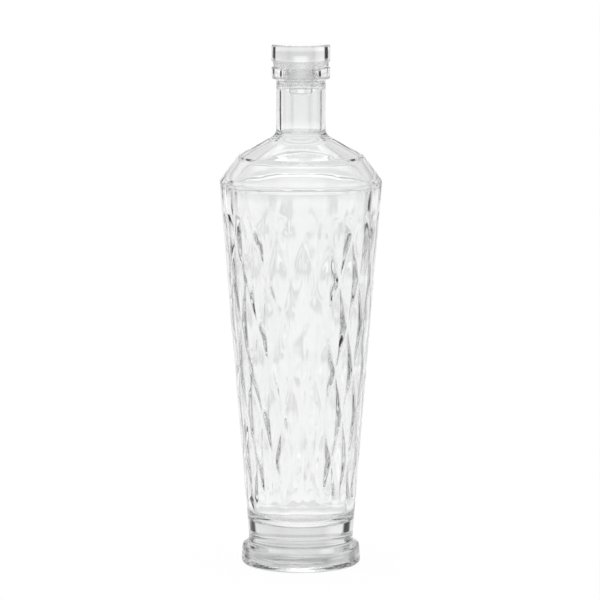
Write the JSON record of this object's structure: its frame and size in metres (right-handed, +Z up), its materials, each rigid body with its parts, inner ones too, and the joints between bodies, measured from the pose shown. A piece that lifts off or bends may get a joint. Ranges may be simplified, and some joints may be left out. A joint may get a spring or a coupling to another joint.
{
  "type": "glass oil bottle",
  "caption": "Tapered round decanter bottle of clear glass with a diamond-cut body and a push-in glass stopper in a ribbed sleeve.",
  "frame": {"origin": "centre of the plane that the bottle rests on, on the axis of the neck", "axes": "+Z up along the neck axis; a column of diamonds faces -Y, and the pattern repeats round Z"},
  "size_m": [0.085, 0.085, 0.2738],
  "materials": {
    "bottle_glass": "clear fire-polished flint glass",
    "sleeve_polymer": "soft translucent moulded polymer",
    "stopper_glass": "clear polished solid glass"
  },
  "bodies": {
    "bottle": {"bottle": "bottle_glass"},
    "sleeve": {"seal_sleeve": "sleeve_polymer"},
    "stopper": {"stopper": "stopper_glass"}
  },
  "joints": [
    {"name": "stopper_pull", "type": "slide", "parent": "bottle", "child": "sleeve", "axis": [0, 0, 1], "range_m": [0, 0.032]},
    {"name": "stopper_twist", "type": "hinge", "parent": "sleeve", "child": "stopper", "pos_m": [0, 0, 0.266], "axis": [0, 0, 1], "continuous": true}
  ]
}
